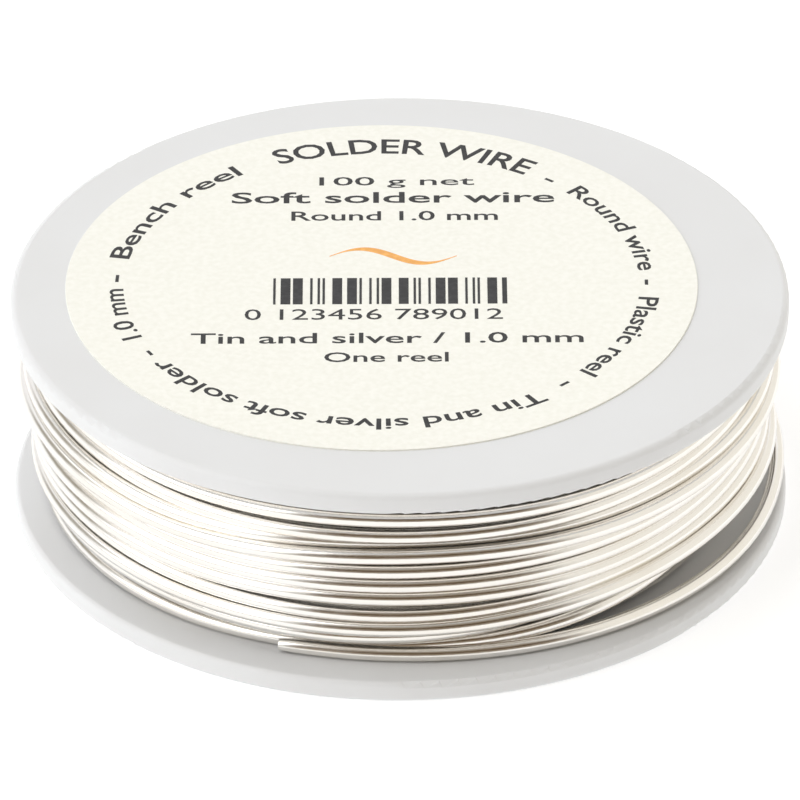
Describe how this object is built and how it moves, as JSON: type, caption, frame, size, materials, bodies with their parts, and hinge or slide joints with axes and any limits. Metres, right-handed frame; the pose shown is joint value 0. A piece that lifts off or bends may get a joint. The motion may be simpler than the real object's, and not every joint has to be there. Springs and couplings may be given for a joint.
{
  "type": "solder wire spool",
  "caption": "Flat reel with two thin flanges on a ribbed core, wound full of bright 1 mm solder wire, with a round paper label over one flange.",
  "frame": {"origin": "centre of the lower flange's outer face, on the surface the reel lies on", "axes": "+Z along the reel's axis, from the lower flange to the labelled flange; -Y towards the bottom edge of the label's text, +X to its right"},
  "size_m": [0.05, 0.05, 0.0155],
  "materials": {
    "flange_plastic": "satin light grey moulded polystyrene",
    "core_plastic": "satin light grey moulded polystyrene",
    "label_paper": "matt warm white paper",
    "label_ink": "matt black print",
    "label_accent": "matt orange print",
    "solder": "bright drawn tin-silver wire"
  },
  "bodies": {
    "root": {"lower_flange": "flange_plastic", "upper_flange": "flange_plastic", "winding_core": "core_plastic", "paper_label": "label_paper", "wire_winding": "solder", "wire_loose_turn": "solder", "wire_start": "solder"}
  },
  "joints": []
}
